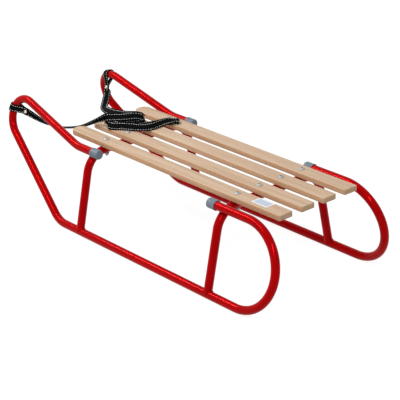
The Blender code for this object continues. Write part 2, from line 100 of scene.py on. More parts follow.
world = bpy.data.worlds.new("studio")
world.use_nodes = True
bpy.context.scene.world = world
tree = world.node_tree
tree.nodes.clear()
sky = node(tree, "Background", {"Color": (1.0, 1.0, 1.0, 1.0), "Strength": SKY_LEVEL})
backdrop = node(tree, "Background", {"Color": (1.0, 1.0, 1.0, 1.0), "Strength": 1.0})
choice = node(tree, "MixShader")
tree.links.new(seen_or_mirrored(tree), choice.inputs["Fac"])
wire(tree, (sky, 0, choice, 1), (backdrop, 0, choice, 2))
tree.links.new(choice.outputs[0], node(tree, "OutputWorld").inputs["Surface"])

# Each strip lamp runs from one place to the other and faces the sled
STRIP_WIDTH = 0.22
for lamp_name, start, end, watts in (("strip_left", (-2.15, -0.58, 2.01), (0.14, -1.58, 2.54), 52.0),
                                     ("strip_right", (2.36, -2.53, 2.00), (2.53, -0.45, 3.06), 44.0)):
    start, end = Vector(start), Vector(end)
    lamp_data = bpy.data.lights.new(lamp_name, "AREA")
    lamp_data.shape = "RECTANGLE"
    lamp_data.size = (end - start).length
    lamp_data.size_y = STRIP_WIDTH
    lamp_data.energy = watts
    lamp = bpy.data.objects.new(lamp_name, lamp_data)
    lengthways = (end - start).normalized()
    away = (start + end).normalized()
    away = (away - lengthways * away.dot(lengthways)).normalized()
    turn = Matrix((lengthways, away.cross(lengthways), away)).transposed().to_4x4()
    lamp.matrix_world = Matrix.Translation((start + end) / 2) @ turn
    bpy.context.scene.collection.objects.link(lamp)

floor_mesh = bpy.data.meshes.new("floor")
sheet = bmesh.new()
bmesh.ops.create_grid(sheet, x_segments=1, y_segments=1, size=FLOOR_SIZE / 2)
sheet.to_mesh(floor_mesh)
sheet.free()
floor = bpy.data.objects.new("floor", floor_mesh)
bpy.context.scene.collection.objects.link(floor)
floor_finish = bpy.data.materials.new("pale_floor")
floor_finish.use_nodes = True
tree = floor_finish.node_tree
tree.nodes.clear()
mottle = node(tree, "TexNoise", {"Scale": 3.0, "Detail": 2.0})
tones = node(tree, "ValToRGB")
tones.color_ramp.elements[0].color = (0.54, 0.54, 0.54, 1.0)
tones.color_ramp.elements[1].color = (0.58, 0.58, 0.58, 1.0)
lit = node(tree, "BsdfDiffuse")
faint = node(tree, "BsdfDiffuse", {"Color": (0.20, 0.20, 0.20, 1.0)})
glow = node(tree, "Emission", {"Color": (1.0, 1.0, 1.0, 1.0), "Strength": 0.90})
both = node(tree, "AddShader")
choice = node(tree, "MixShader")
wire(tree, (mottle, "Fac", tones, "Fac"), (tones, "Color", lit, "Color"), (faint, 0, both, 0),
     (glow, 0, both, 1))
tree.links.new(seen_or_mirrored(tree), choice.inputs["Fac"])
wire(tree, (lit, 0, choice, 1), (both, 0, choice, 2))
tree.links.new(choice.outputs[0], node(tree, "OutputMaterial").inputs["Surface"])
floor_mesh.materials.append(floor_finish)


# The side tubes: 20 mm steel tube, each cold bent from one length into runner, horn and rear loop.
# They lean inwards to the seat, and the whole frame is powder coated in a glossy signal red.
TUBE_R = 0.010
GAP = 0.0003
HALF_TRACK = 0.1915
LEAN = math.radians(12.25)
REAR_BEND_R = 0.100
REAR_BEND_BEHIND_BOW = 0.0885
TOE_AHEAD_OF_BOW = 0.0605
TOE_BEND_R = 0.073
HORN_AHEAD_OF_BOW = 0.2695
HORN_HEIGHT = 0.209
HORN_BEND_R = 0.052
NECK_AHEAD_OF_BOW = 0.0355
NECK_BEND_R = 0.109
BOW_SPACING = 0.460
TOP_HEIGHT = 2 * REAR_BEND_R
TUBE_END_FROM_BOW = 0.0342
TUBE_SIDES = 32
BEND_STEP = math.radians(3)
SIDES = {"left": -1, "right": 1}

front_reach = HORN_AHEAD_OF_BOW + HORN_BEND_R + TUBE_R
rear_reach = REAR_BEND_BEHIND_BOW + REAR_BEND_R + TUBE_R
FRONT_BOW_X = (front_reach - BOW_SPACING - rear_reach) / 2
REAR_BOW_X = FRONT_BOW_X + BOW_SPACING


def bend(centre, radius, start, end):
    """Points round one bend of a side tube, in the side's own plane."""
    steps = max(2, round(abs(end - start) / BEND_STEP))
    angles = np.linspace(start, end, steps + 1)
    return [(centre[0] + radius * math.cos(a), centre[1] + radius * math.sin(a)) for a in angles]


def on_side(along, height, side):
    """A point of the leaning side's plane; side is -1 for left, 1 for right."""
    return Vector((along, side * (HALF_TRACK - height * math.sin(LEAN)),
                   TUBE_R + height * math.cos(LEAN)))


def side_tube_line(side):
    """The side tube's middle line, from under the front cap round to under the rear cap."""
    toe = (FRONT_BOW_X - TOE_AHEAD_OF_BOW, TOE_BEND_R)
    horn = (FRONT_BOW_X - HORN_AHEAD_OF_BOW, HORN_HEIGHT)
    neck = (FRONT_BOW_X - NECK_AHEAD_OF_BOW, TOP_HEIGHT + NECK_BEND_R)
    rear = (REAR_BOW_X + REAR_BEND_BEHIND_BOW, REAR_BEND_R)
    down = math.pi / 2
    rise = math.atan2(horn[1] - toe[1], toe[0] - horn[0])
    rise += math.asin((TOE_BEND_R - HORN_BEND_R) / math.dist(toe, horn))
    fall = math.asin((HORN_BEND_R + NECK_BEND_R) / math.dist(horn, neck))
    fall -= math.atan2(neck[1] - horn[1], neck[0] - horn[0])
    line = [(FRONT_BOW_X + TUBE_END_FROM_BOW, TOP_HEIGHT)]
    line += bend(neck, NECK_BEND_R, -down, -down - fall)
    line += bend(horn, HORN_BEND_R, down - fall, 3 * down - rise)
    line += bend(toe, TOE_BEND_R, -down - rise, -down)
    line += bend(rear, REAR_BEND_R, -down, down)
    line.append((REAR_BOW_X - TUBE_END_FROM_BOW, TOP_HEIGHT))
    return [on_side(along, height, side) for along, height in line]


def new_piece(name, work, finish, smooth_below=40):
    """Turn the work into a named piece of the sled that rides on its frame."""
    mesh = bpy.data.meshes.new(name)
    bmesh.ops.recalc_face_normals(work, faces=work.faces)
    work.to_mesh(mesh)
    work.free()
    mesh.materials.append(finish)
    mesh.shade_smooth()
    mesh.set_sharp_from_angle(angle=math.radians(smooth_below))
    piece = bpy.data.objects.new(name, mesh)
    bpy.context.scene.collection.objects.link(piece)
    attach(piece, "root")
    return piece


def bridge(work, rings):
    """Faces between each ring of points and the next."""
    for ring, after in zip(rings, rings[1:]):
        count = len(ring)
        for k in range(count):
            work.faces.new((ring[k], ring[(k + 1) % count], after[(k + 1) % count], after[k]))


def sweep(work, line, radius, sides, closed=False):
    """A round bar along the line; radius is one value, or one for each of its points."""
    radii = radius if isinstance(radius, list) else [radius] * len(line)
    count = len(line)
    rings = []
    across = None
    for i, point in enumerate(line):
        before = line[i - 1] if closed or i else line[0]
        after = line[(i + 1) % count] if closed or i < count - 1 else line[-1]
        heading = (after - before).normalized()
        if across is None:
            across = heading.orthogonal()
        across = (across - heading * across.dot(heading)).normalized()
        other = heading.cross(across)
        rings.append([work.verts.new(point + radii[i] * (math.cos(a) * across + math.sin(a) * other))
                      for a in np.linspace(0, 2 * math.pi, sides, endpoint=False)])
    bridge(work, rings + rings[:1] if closed else rings)
    if not closed:
        work.faces.new(rings[0])
        work.faces.new(rings[-1])


def new_finish(name, plain):
    """A new material, its node tree and its shader, with the shader's plain values set."""
    finish = bpy.data.materials.new(name)
    finish.use_nodes = True
    tree = finish.node_tree
    shader = tree.nodes["Principled BSDF"]
    for key, value in plain.items():
        shader.inputs[key].default_value = value
    return finish, tree, shader


def two_tones(tree, low, deep, high, pale):
    """A ramp from the deep tone, at the value low, to the pale tone, at the value high."""
    ramp = node(tree, "ValToRGB")
    for stop, place, tone in zip(ramp.color_ramp.elements, (low, high), (deep, pale)):
        stop.position = place
        stop.color = (*tone, 1.0)
    return ramp


# Powder coat: a saturated red with a fine orange peel, glossy but not quite even in its gloss
RED = (0.420, 0.0003, 0.0014)
DEEP_RED = (0.340, 0.0002, 0.0010)
red_coat, tree, shader = new_finish("red_powder_coat", {
    "Metallic": 0.25, "Specular IOR Level": 0.10, "Specular Tint": (1.0, 0.26, 0.28, 1.0)})
place_on_tube = node(tree, "TexCoord")
flow = node(tree, "TexNoise", {"Scale": 14.0, "Detail": 4.0, "Roughness": 0.6})
reds = two_tones(tree, 0.30, DEEP_RED, 0.62, RED)
gloss = node(tree, "MapRange", {"From Min": 0.3, "From Max": 0.7, "To Min": 0.14, "To Max": 0.20})
peel = node(tree, "TexNoise", {"Scale": 520.0, "Detail": 2.0})
skin = node(tree, "Bump", {"Strength": 0.02, "Distance": 0.0002})
wire(tree, (place_on_tube, "Object", flow, "Vector"), (place_on_tube, "Object", peel, "Vector"),
     (flow, "Fac", reds, "Fac"), (flow, "Fac", gloss, "Value"),
     (reds, "Color", shader, "Base Color"), (gloss, "Result", shader, "Roughness"),
     (peel, "Fac", skin, "Height"), (skin, "Normal", shader, "Normal"))

for side_name, side in SIDES.items():
    work = bmesh.new()
    sweep(work, side_tube_line(side), TUBE_R, TUBE_SIDES)
    runner = new_piece("side_tube_" + side_name, work, red_coat)
    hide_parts("runner_" + side_name)


# The bows: two more 20 mm tubes, bent to a leg, a crossbar and a leg. The legs stand on the runners,
# and the seat bolts pass through the crossbars, which are drilled before coating.
BOW_BEND_R = 0.058
BEND_TO_TOP = BOW_BEND_R + 2 * TUBE_R + GAP
LEG_STRAIGHT = TOP_HEIGHT - math.sqrt(BEND_TO_TOP ** 2 - BOW_BEND_R ** 2)
CROSSBAR_Z = TUBE_R + LEG_STRAIGHT * math.cos(LEAN) + BOW_BEND_R * (1 - math.sin(LEAN))
LEG_START = 0.004
BOWS = {"front": FRONT_BOW_X, "rear": REAR_BOW_X}


def bow_bend_centre(bow_x, side):
    """Middle of the bend between a leg and the crossbar."""
    leg_top = on_side(bow_x, LEG_STRAIGHT, side)
    return Vector((bow_x, leg_top.y - side * BOW_BEND_R * math.cos(LEAN), CROSSBAR_Z - BOW_BEND_R))


def bow_line(bow_x):
    """The bow's middle line from the left runner, over the crossbar, to the right runner."""
    turn = math.pi / 2 - LEAN
    steps = round(turn / BEND_STEP)
    centre = bow_bend_centre(bow_x, 1)
    half = [on_side(bow_x, LEG_START, 1)]
    for i in range(steps + 1):
        angle = LEAN + turn * i / steps
        half.append(centre + BOW_BEND_R * Vector((0, math.cos(angle), math.sin(angle))))
    return [Vector((p.x, -p.y, p.z)) for p in half] + half[::-1]


for bow_name, bow_x in BOWS.items():
    work = bmesh.new()
    sweep(work, bow_line(bow_x), TUBE_R, TUBE_SIDES)
    bow = new_piece("bow_tube_" + bow_name, work, red_coat)
    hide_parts("bow_" + bow_name)


# The welds: a rippled bead round the foot of each leg on its runner, and one that closes the nip
# where the bow's shoulder meets the side tube. They are coated with the frame.
BEAD_R = 0.0019
RIPPLE = 0.0024
RIPPLE_DEPTH = 0.14
BEAD_SIDES = 10
FOOT_STEPS = 96
FOOT_EASE = 1.01
FOOT_FLATTER = 0.02
SHOULDER_RING_R = 0.0066
SHOULDER_STEPS = 72


def bead(work, line):
    """A weld bead along a closed line, swelling a little at each ripple."""
    reach = np.concatenate([[0], np.cumsum([(b - a).length for a, b in zip(line, line[1:])])])
    radii = BEAD_R * (1 + RIPPLE_DEPTH * np.sin(2 * math.pi * reach / RIPPLE))
    sweep(work, line, radii.tolist(), BEAD_SIDES, closed=True)


for bow_name, bow_x in BOWS.items():
    work = bmesh.new()
    for side in SIDES.values():
        foot = on_side(bow_x, 0, side)
        leg = (on_side(bow_x, 1, side) - foot).normalized()
        sideways = Vector((0, leg.z, -leg.y))
        collar = []
        for angle in np.linspace(0, 2 * math.pi, FOOT_STEPS, endpoint=False):
            climb = math.sqrt(math.cos(angle) ** 2 + FOOT_FLATTER)
            out = math.cos(angle) * Vector((1, 0, 0)) + math.sin(angle) * sideways
            collar.append(foot + TUBE_R * (FOOT_EASE * out + climb * leg))
        bead(work, collar)
        shoulder = bow_bend_centre(bow_x, side)
        normal = (on_side(bow_x, TOP_HEIGHT, side) - shoulder).normalized()
        contact = shoulder + (BOW_BEND_R + TUBE_R + GAP / 2) * normal
        along_bow = Vector((0, normal.z, -normal.y))
        collar = []
        for angle in np.linspace(0, 2 * math.pi, SHOULDER_STEPS, endpoint=False):
            lengthwise = SHOULDER_RING_R * math.cos(angle)
            crosswise = SHOULDER_RING_R * math.sin(angle)
            lift = (crosswise ** 2 - lengthwise ** 2) / (4 * TUBE_R)
            collar.append(contact + Vector((lengthwise, 0, 0)) + crosswise * along_bow + lift * normal)
        bead(work, collar)
    new_piece("welds_" + bow_name, work, red_coat, smooth_below=60)


# The caps: grey plastic sleeves pushed over the four ends of the side tubes, each with a thin lip at
# its mouth, a rounded closed end and a gate mark from moulding.
CAP_WALL = 0.0018
CAP_INNER_R = TUBE_R + GAP
CAP_OUTER_R = CAP_INNER_R + CAP_WALL
LIP_STEP = 0.0003
LIP_SLOPE = 0.0004
LIP_ROUND = 0.0005
CAP_BODY_R = CAP_OUTER_R - LIP_STEP
CAP_LENGTH = 0.026
CAP_END = 0.0025
CAP_ROUND = 0.004
CAP_LIP = 0.0022
CAP_FROM_BOW = 0.011
CAP_SIDES = 48
GATE_R = 0.0012
GATE_RISE = 0.0004


def turned(work, profile, place, sides):
    """A turned shape about its own Z axis from (radius, height) points that start and end on it."""
    rings = []
    for radius, height in profile:
        if radius == 0:
            rings.append([work.verts.new(place @ Vector((0, 0, height)))])
            continue
        rings.append([work.verts.new(place @ Vector((radius * math.cos(a), radius * math.sin(a), height)))
                      for a in np.linspace(0, 2 * math.pi, sides, endpoint=False)])
    for ring, after in zip(rings, rings[1:]):
        for k in range(sides):
            corners = [ring[k % len(ring)], ring[(k + 1) % sides % len(ring)],
                       after[(k + 1) % sides % len(after)], after[k % len(after)]]
            work.faces.new(list(dict.fromkeys(corners)))


def quarter(centre_r, centre_z, radius, start, end, count=6):
    """Profile points round a small radius, angles in degrees from the outward direction."""
    return [(centre_r + radius * math.cos(math.radians(a)), centre_z + radius * math.sin(math.radians(a)))
            for a in np.linspace(start, end, count)]


# Moulded plastic: blue grey, with a fine spark texture, and a tone and gloss that vary a little at random
cap_plastic, tree, shader = new_finish("grey_cap_plastic", {"Specular IOR Level": 0.40})
place_on_cap = node(tree, "TexCoord")
cloud = node(tree, "TexNoise", {"Scale": 60.0, "Detail": 3.0})
greys = two_tones(tree, 0.32, (0.118, 0.150, 0.184), 0.70, (0.156, 0.192, 0.236))
spark = node(tree, "TexNoise", {"Scale": 1500.0, "Detail": 2.0})
grain = node(tree, "Bump", {"Strength": 0.25, "Distance": 0.0002})
dull = node(tree, "MapRange", {"To Min": 0.38, "To Max": 0.55})
wire(tree, (place_on_cap, "Object", cloud, "Vector"), (place_on_cap, "Object", spark, "Vector"),
     (cloud, "Fac", greys, "Fac"), (cloud, "Fac", dull, "Value"),
     (greys, "Color", shader, "Base Color"), (dull, "Result", shader, "Roughness"),
     (spark, "Fac", grain, "Height"), (grain, "Normal", shader, "Normal"))

cap_shape = [(0, CAP_LENGTH + GATE_RISE), (GATE_R, CAP_LENGTH + GATE_RISE), (GATE_R, CAP_LENGTH)]
cap_shape += quarter(CAP_BODY_R - CAP_ROUND, CAP_LENGTH - CAP_ROUND, CAP_ROUND, 90, 0, 8)
cap_shape += [(CAP_BODY_R, CAP_LIP + LIP_SLOPE), (CAP_OUTER_R, CAP_LIP)]
cap_shape += quarter(CAP_OUTER_R - LIP_ROUND, LIP_ROUND, LIP_ROUND, 0, -90, 4)
cap_shape += [(CAP_INNER_R, 0), (CAP_INNER_R, CAP_LENGTH - CAP_END), (0, CAP_LENGTH - CAP_END)]
for bow_name, facing in (("front", 1), ("rear", -1)):
    for side_name, side in SIDES.items():
        mouth = on_side(BOWS[bow_name] + facing * CAP_FROM_BOW, TOP_HEIGHT, side)
        place = Matrix.Translation(mouth) @ Matrix.Rotation(facing * math.pi / 2, 4, "Y")
        work = bmesh.new()
        turned(work, cap_shape, place, CAP_SIDES)
        cap = new_piece("tube_cap_{}_{}".format(bow_name, side_name), work, cap_plastic,
                        smooth_below=50)
        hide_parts("cap_{}_{}".format(bow_name, side_name))


# The seat: four planed beech slats, their edges eased and their front ends rounded like a tongue.
# They lie on the crossbars with a clear matt lacquer on all sides.
SLAT_WIDTH = 0.040
SLAT_THICKNESS = 0.013
SLAT_COUNT = 4
SLAT_AHEAD_OF_BOW = 0.1185
SLAT_BEHIND_BOW = 0.151
SLAT_FRONT_X = FRONT_BOW_X - SLAT_AHEAD_OF_BOW
SLAT_REAR_X = REAR_BOW_X + SLAT_BEHIND_BOW
SLAT_NOSE_R = 0.0175
SLAT_TAIL_R = 0.004
SLAT_EDGE_R = 0.0018
CORNER_POINTS = 13
SLAT_BOTTOM_Z = CROSSBAR_Z + TUBE_R + GAP
SEAT_Z = SLAT_BOTTOM_Z + SLAT_THICKNESS
SEAT_CLEAR_OF_CAPS = 0.0175
TOP_TUBE_Y = HALF_TRACK - TOP_HEIGHT * math.sin(LEAN)
OUTER_SLAT_Y = TOP_TUBE_Y - CAP_OUTER_R - SEAT_CLEAR_OF_CAPS - SLAT_WIDTH / 2
SLAT_YS = [OUTER_SLAT_Y * (2 * i / (SLAT_COUNT - 1) - 1) for i in range(SLAT_COUNT)]
GRAIN_SHIFTS = [Vector((0.00, 0.000, 0.000)), Vector((1.37, 0.083, 0.031)),
                Vector((2.91, -0.057, 0.066)), Vector((4.18, 0.122, -0.045))]


def slat_corner(centre_x, centre_y, radius, start, inset):
    """A rounded corner of a slat's outline, drawn in by inset."""
    return [(centre_x + (radius - inset) * math.cos(math.radians(start + a)),
             centre_y + (radius - inset) * math.sin(math.radians(start + a)))
            for a in np.linspace(0, 90, CORNER_POINTS)]


def slat_outline(inset):
    """The slat's outline seen from above, about its own middle line."""
    half = SLAT_WIDTH / 2
    line = slat_corner(SLAT_REAR_X - SLAT_TAIL_R, half - SLAT_TAIL_R, SLAT_TAIL_R, 0, inset)
    line += slat_corner(SLAT_FRONT_X + SLAT_NOSE_R, half - SLAT_NOSE_R, SLAT_NOSE_R, 90, inset)
    line += slat_corner(SLAT_FRONT_X + SLAT_NOSE_R, SLAT_NOSE_R - half, SLAT_NOSE_R, 180, inset)
    line += slat_corner(SLAT_REAR_X - SLAT_TAIL_R, SLAT_TAIL_R - half, SLAT_TAIL_R, 270, inset)
    return line


# Beech: pale pinkish straw, fine straight grain along the slat, short dark flecks, warmer end grain, and
# painted shade that makes the long sides darker and warmer than the top
beech, tree, shader = new_finish("lacquered_beech", {"Specular IOR Level": 0.30})
in_board = node(tree, "Attribute", attribute_name="grain")
stretched = node(tree, "Mapping", {"Scale": (1.6, 34.0, 34.0)})
bands = node(tree, "TexNoise", {"Scale": 2.2, "Detail": 6.0, "Roughness": 0.62, "Distortion": 0.35})
straw = two_tones(tree, 0.28, (0.455, 0.295, 0.180), 0.70, (0.620, 0.460, 0.325))
middle_tone = straw.color_ramp.elements.new(0.50)
middle_tone.color = (0.555, 0.390, 0.262, 1.0)
fine = node(tree, "Mapping", {"Scale": (14.0, 420.0, 420.0)})
fibres = node(tree, "TexNoise", {"Scale": 1.0, "Detail": 3.0, "Roughness": 0.7})
fleck_map = node(tree, "Mapping", {"Scale": (150.0, 1100.0, 1100.0)})
flecks = node(tree, "TexVoronoi", {"Scale": 1.0, "Randomness": 1.0})
fleck_cut = node(tree, "MapRange", {"From Min": 0.10, "From Max": 0.22, "To Min": 1.0, "To Max": 0.0})
darker = node(tree, "MixRGB", blend_type="MULTIPLY")
darker.inputs["Color2"].default_value = (0.62, 0.50, 0.42, 1.0)
fleck_share = node(tree, "Math", {1: 0.55}, operation="MULTIPLY")
fibre_tone = node(tree, "MapRange", {"From Min": 0.3, "From Max": 0.7, "To Min": 0.90, "To Max": 1.06})
toned = node(tree, "VectorMath", operation="SCALE")
facing = node(tree, "NewGeometry")
facing_parts = node(tree, "SeparateXYZ")
lengthwise = node(tree, "Math", operation="ABSOLUTE")
end_share = node(tree, "MapRange", {"From Min": 0.5, "From Max": 0.95, "To Min": 0.0, "To Max": 0.55})
end_grain = node(tree, "MixRGB", blend_type="MULTIPLY")
end_grain.inputs["Color2"].default_value = (0.80, 0.66, 0.52, 1.0)
# Painted shade: the faces that look across the slat, its long sides, are darkened and warmed
crosswise = node(tree, "Math", operation="ABSOLUTE")
painted_side_shade_share = node(tree, "MapRange", {"From Min": 0.5, "From Max": 0.95, "To Min": 0.0, "To Max": 1.0})
painted_side_shade = node(tree, "MixRGB", blend_type="MULTIPLY")
painted_side_shade.inputs["Color2"].default_value = (0.98, 0.83, 0.70, 1.0)
relief = node(tree, "Bump", {"Strength": 0.22, "Distance": 0.0006})
matt = node(tree, "MapRange", {"To Min": 0.46, "To Max": 0.62})
wire(tree, (in_board, "Vector", stretched, "Vector"), (in_board, "Vector", fine, "Vector"),
     (in_board, "Vector", fleck_map, "Vector"), (stretched, "Vector", bands, "Vector"),
     (fine, "Vector", fibres, "Vector"), (fleck_map, "Vector", flecks, "Vector"),
     (bands, "Fac", straw, "Fac"), (flecks, "Distance", fleck_cut, "Value"),
     (fleck_cut, "Result", fleck_share, 0), (fleck_share, 0, darker, "Fac"),
     (straw, "Color", darker, "Color1"), (fibres, "Fac", fibre_tone, "Value"),
     (darker, "Color", toned, 0), (fibre_tone, "Result", toned, "Scale"),
     (facing, "Normal", facing_parts, "Vector"), (facing_parts, "X", lengthwise, 0),
     (lengthwise, 0, end_share, "Value"), (end_share, "Result", end_grain, "Fac"),
     (toned, "Vector", end_grain, "Color1"), (facing_parts, "Y", crosswise, 0),
     (crosswise, 0, painted_side_shade_share, "Value"), (painted_side_shade_share, "Result", painted_side_shade, "Fac"),
     (end_grain, "Color", painted_side_shade, "Color1"), (painted_side_shade, "Color", shader, "Base Color"),
     (fibres, "Fac", relief, "Height"), (relief, "Normal", shader, "Normal"),
     (bands, "Fac", matt, "Value"), (matt, "Result", shader, "Roughness"))

EDGE_STEPS = np.radians(np.linspace(0, 90, 5))
for number, (slat_y, shift) in enumerate(zip(SLAT_YS, GRAIN_SHIFTS), start=1):
    work = bmesh.new()
    levels = [(SLAT_EDGE_R * (1 - math.sin(a)), SLAT_EDGE_R * (1 - math.cos(a))) for a in EDGE_STEPS]
    levels += [(inset, SLAT_THICKNESS - height) for inset, height in levels[::-1]]
    rings = []
    for inset, height in levels:
        rings.append([work.verts.new((x, slat_y + y, SLAT_BOTTOM_Z + height))
                      for x, y in slat_outline(inset)])
    bridge(work, rings)
    work.faces.new(rings[0][::-1])
    work.faces.new(rings[-1])
    slat = new_piece("seat_slat_{}".format(number), work, beech, smooth_below=30)
    grain_place = slat.data.attributes.new("grain", "FLOAT_VECTOR", "POINT")
    for item, vertex in zip(grain_place.data, slat.data.vertices):
        item.vector = vertex.co + shift
    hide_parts("slat_{}".format(number))


# The label: a blank sticker on the near slat, close to its rear end. It is white film with a plain
# pale blue field printed inside a white margin, rubbed down flat on the lacquer.
LABEL_LENGTH = 0.047
LABEL_WIDTH = 0.027
LABEL_MARGIN = 0.0030
LABEL_AHEAD_OF_END = 0.075
LABEL_OFF_MIDDLE = 0.0045
LABEL_THICKNESS = 0.00015
LABEL_SIDE = 0.7 * LABEL_THICKNESS
LABEL_EDGE = 0.0001
LABEL_ROUND = 0.0015
FIELD_ROUND = 0.0003
LABEL_LIFT = 0.00002


def sticker_film(name, pale, palest):
    """Satin sticker film: a print tone that varies a little with the fibre under it."""
    film, tree, shader = new_finish(name, {"Specular IOR Level": 0.45})
    place_on_label = node(tree, "TexCoord")
    fibre = node(tree, "TexNoise", {"Scale": 900.0, "Detail": 3.0})
    whites = two_tones(tree, 0.30, pale, 0.68, palest)
    satin = node(tree, "MapRange", {"To Min": 0.30, "To Max": 0.45})
    wire(tree, (place_on_label, "Object", fibre, "Vector"), (fibre, "Fac", whites, "Fac"),
         (fibre, "Fac", satin, "Value"), (whites, "Color", shader, "Base Color"),
         (satin, "Result", shader, "Roughness"))
    return film


work = bmesh.new()
rings = []
for inset, height in ((0.0, 0.0), (0.0, LABEL_SIDE), (LABEL_EDGE, LABEL_THICKNESS),
                      (LABEL_MARGIN, LABEL_THICKNESS)):
    ring = []
    for corner_x, corner_y, start in ((1, 1, 0), (-1, 1, 90), (-1, -1, 180), (1, -1, 270)):
        for turn in np.radians(np.linspace(start, start + 90, 5)):
            round_r = max(LABEL_ROUND - inset, FIELD_ROUND)
            x = corner_x * (LABEL_LENGTH / 2 - inset - round_r) + round_r * math.cos(turn)
            y = corner_y * (LABEL_WIDTH / 2 - inset - round_r) + round_r * math.sin(turn)
            ring.append(work.verts.new((SLAT_REAR_X - LABEL_AHEAD_OF_END + x,
                                        SLAT_YS[0] + LABEL_OFF_MIDDLE + y, SEAT_Z + LABEL_LIFT + height)))
    rings.append(ring)
bridge(work, rings)
work.faces.new(rings[0][::-1])
field = work.faces.new(rings[-1])
field.material_index = 1
margin = sticker_film("label_margin", (0.76, 0.77, 0.76), (0.84, 0.85, 0.84))
label = new_piece("seat_label", work, margin)
label.data.materials.append(sticker_film("label_field", (0.38, 0.45, 0.57), (0.52, 0.59, 0.69)))


# The bolts: zinc plated M6, with shallow domed heads that have a small round recess, through slat and
# crossbar. Each has a hex nut under the tube, and a few turns of its thread show below that.
BOLT_R = 0.003
HEAD_R = 0.00725
HEAD_RISE = 0.0034
HEAD_RIM = 0.0006
RIM_EASE = 0.3 * HEAD_RIM
HEAD_SIDES = 36
SOCKET_R = 0.0026
SOCKET_FLOOR_R = 0.92 * SOCKET_R
SOCKET_DEPTH = 0.0022
NUT_FLAT_R = 0.005
NUT_THICKNESS = 0.005
NUT_CHAMFER = 0.0006
NUT_SIDES = 48
BOLT_TAIL = 0.003
THREAD_PITCH = 0.001
THREAD_DEPTH = 0.0005
THREAD_IN_NUT = 0.0015
THREAD_SIDES = 24
THREAD_STEPS = 5
TIP_CHAMFER = 0.0005
NUT_TOP_Z = CROSSBAR_Z - TUBE_R - GAP

# Zinc: a pale grey plating over cold formed steel, a little cloudy and brushed by handling
zinc, tree, shader = new_finish("bright_zinc", {"Metallic": 1.0})
place_on_bolt = node(tree, "TexCoord")
haze = node(tree, "TexNoise", {"Scale": 260.0, "Detail": 4.0})
metals = two_tones(tree, 0.30, (0.27, 0.275, 0.27), 0.70, (0.42, 0.425, 0.415))
sheen = node(tree, "MapRange", {"To Min": 0.50, "To Max": 0.66})
pits = node(tree, "TexNoise", {"Scale": 1800.0, "Detail": 2.0})
dents = node(tree, "Bump", {"Strength": 0.15, "Distance": 0.0002})
wire(tree, (place_on_bolt, "Object", haze, "Vector"), (place_on_bolt, "Object", pits, "Vector"),
     (haze, "Fac", metals, "Fac"), (haze, "Fac", sheen, "Value"),
     (metals, "Color", shader, "Base Color"), (sheen, "Result", shader, "Roughness"),
     (pits, "Fac", dents, "Height"), (dents, "Normal", shader, "Normal"))


def bolt(work, x, y):
    """A domed head with its recess and thin rim, the plain shank in the slat, the threaded tip."""
    dome = HEAD_RISE - HEAD_RIM
    dome_r = (HEAD_R ** 2 + dome ** 2) / (2 * dome)
    full = math.asin(HEAD_R / dome_r)
    mouth = math.asin(SOCKET_R / dome_r)
    shape = [(0, HEAD_RISE - SOCKET_DEPTH), (SOCKET_FLOOR_R, HEAD_RISE - SOCKET_DEPTH)]
    for angle in np.linspace(mouth, full, 8):
        shape.append((dome_r * math.sin(angle), HEAD_RISE - dome_r * (1 - math.cos(angle))))
    shape += [(HEAD_R, RIM_EASE), (HEAD_R - RIM_EASE, 0), (BOLT_R, 0)]
    shape += [(BOLT_R, -SLAT_THICKNESS), (0, -SLAT_THICKNESS)]
    turned(work, shape, Matrix.Translation((x, y, SEAT_Z + GAP)), HEAD_SIDES)
    bottom = NUT_TOP_Z - NUT_THICKNESS - BOLT_TAIL
    heights = np.arange(bottom, NUT_TOP_Z - NUT_THICKNESS + THREAD_IN_NUT, THREAD_PITCH / THREAD_STEPS)
    rings = []
    for height in heights:
        ring = []
        for k in range(THREAD_SIDES):
            turn = ((height - bottom) / THREAD_PITCH - k / THREAD_SIDES) % 1
            cut = THREAD_DEPTH * abs(2 * turn - 1)
            chamfer = max(0.0, TIP_CHAMFER - (height - bottom))
            radius = BOLT_R - max(cut, chamfer)
            angle = 2 * math.pi * k / THREAD_SIDES
            ring.append(work.verts.new((x + radius * math.cos(angle), y + radius * math.sin(angle),
                                        height)))
        rings.append(ring)
    bridge(work, rings)
    work.faces.new(rings[0])
    work.faces.new(rings[-1])


def hex_nut(work, x, y):
    """A hex nut with both ends turned off at the corners, and its bore."""
    levels = ((0.0, 0.94), (NUT_CHAMFER, 1.06), (2 * NUT_CHAMFER, 1.2),
              (NUT_THICKNESS - 2 * NUT_CHAMFER, 1.2), (NUT_THICKNESS - NUT_CHAMFER, 1.06),
              (NUT_THICKNESS, 0.94))
    rings = []
    for depth, limit in levels:
        ring = []
        for k in range(NUT_SIDES):
            angle = 2 * math.pi * k / NUT_SIDES
            to_flat = (angle % (math.pi / 3)) - math.pi / 6
            radius = min(NUT_FLAT_R / math.cos(to_flat), NUT_FLAT_R * limit)
            ring.append(work.verts.new((x + radius * math.cos(angle), y + radius * math.sin(angle),
                                        NUT_TOP_Z - depth)))
        rings.append(ring)
    for depth in (NUT_THICKNESS, 0.0):
        radius = BOLT_R + GAP / 3
        rings.append([work.verts.new((x + radius * math.cos(a), y + radius * math.sin(a),
                                      NUT_TOP_Z - depth))
                      for a in np.linspace(0, 2 * math.pi, NUT_SIDES, endpoint=False)])
    bridge(work, rings + rings[:1])


for bow_name, bow_x in BOWS.items():
    for number, slat_y in enumerate(SLAT_YS, start=1):
        work = bmesh.new()
        bolt(work, bow_x, slat_y)
        seat_bolt = new_piece("seat_bolt_{}_{}".format(bow_name, number), work, zinc,
                              smooth_below=35)
        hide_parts("bolt_{}_{}".format(bow_name, number))
        work = bmesh.new()
        hex_nut(work, bow_x, slat_y)
        seat_nut = new_piece("seat_nut_{}_{}".format(bow_name, number), work, zinc, smooth_below=25)
        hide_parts("nut_{}_{}".format(bow_name, number))


